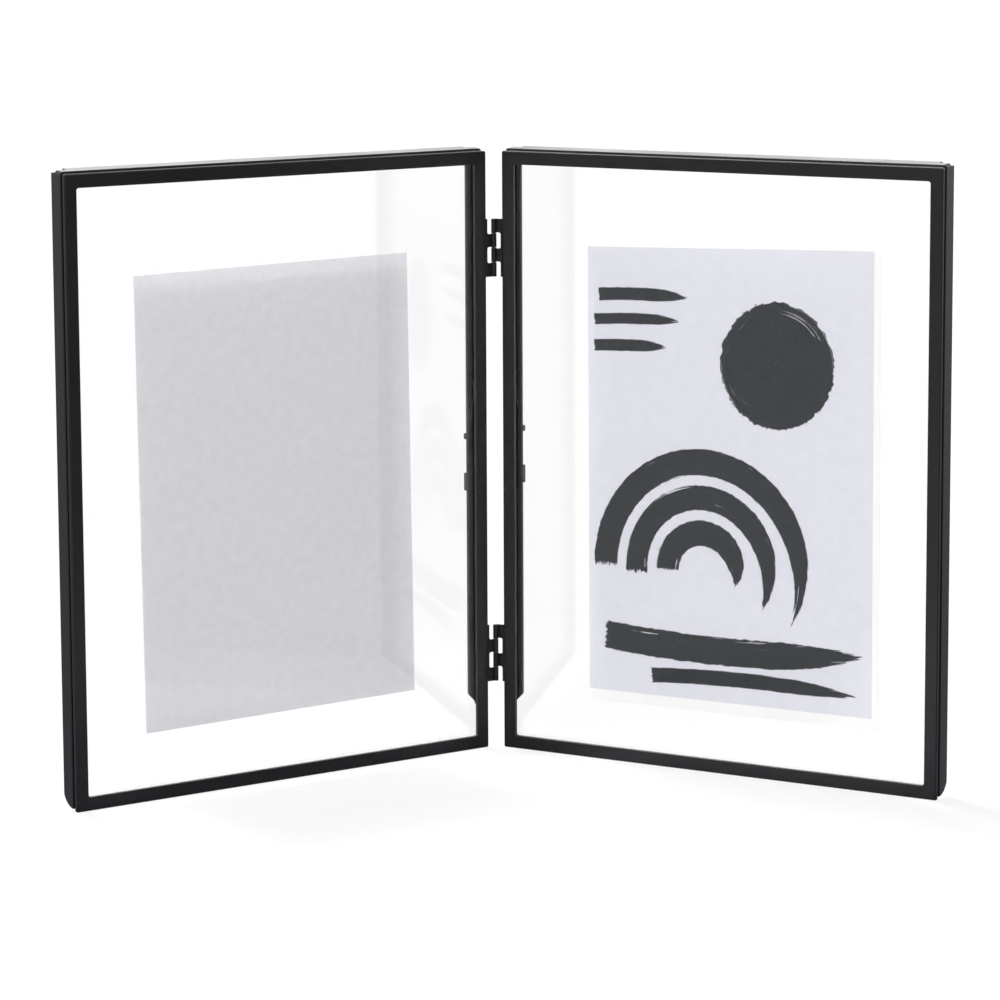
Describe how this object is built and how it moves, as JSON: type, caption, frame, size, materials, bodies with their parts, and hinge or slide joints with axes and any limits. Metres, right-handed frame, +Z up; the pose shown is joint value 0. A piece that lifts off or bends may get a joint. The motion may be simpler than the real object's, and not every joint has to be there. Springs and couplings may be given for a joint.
{
  "type": "hinged double photo frame",
  "caption": "Hinged double photo frame: two glazed leaves in thin black steel, each floating a print between panes, standing in a V and folding face to face.",
  "frame": {"origin": "bottom centre of the bounding box, on the surface the frame stands on", "axes": "+Z up, +X along the width of the open V from the left leaf to the right one, +Y from the open side of the V to the hinge"},
  "size_m": [0.3492, 0.12, 0.2516],
  "materials": {
    "black_paint": "satin black powder coat on steel",
    "clear_glass": "clear float glass with bevelled edges",
    "insert_paper": "matte uncoated pale grey paper",
    "printed_paper": "matte paper printed in charcoal",
    "spring_steel": "blackened spring steel"
  },
  "bodies": {
    "left_leaf": {"left_front_frame": "black_paint", "left_back_channel": "black_paint", "left_bottom_ledge": "black_paint", "left_front_glass": "clear_glass", "left_back_glass": "clear_glass", "left_print": "insert_paper", "left_hinge_side_clip": "spring_steel", "left_outer_side_clip": "spring_steel", "left_hinge_rivets": "black_paint", "lower_hinge_left_plate": "black_paint", "upper_hinge_left_plate": "black_paint", "lower_hinge_pin": "black_paint", "upper_hinge_pin": "black_paint"},
    "right_leaf": {"right_front_frame": "black_paint", "right_back_channel": "black_paint", "right_bottom_ledge": "black_paint", "right_front_glass": "clear_glass", "right_back_glass": "clear_glass", "right_print": "printed_paper", "right_hinge_side_clip": "spring_steel", "right_outer_side_clip": "spring_steel", "right_hinge_rivets": "black_paint", "lower_hinge_right_plate": "black_paint", "upper_hinge_right_plate": "black_paint"}
  },
  "joints": [
    {"name": "leaf_hinge", "type": "hinge", "parent": "left_leaf", "child": "right_leaf", "pos_m": [0, 0.05342, 0.125], "axis": [0, 0, 1], "range_deg": [-112, 98]}
  ]
}
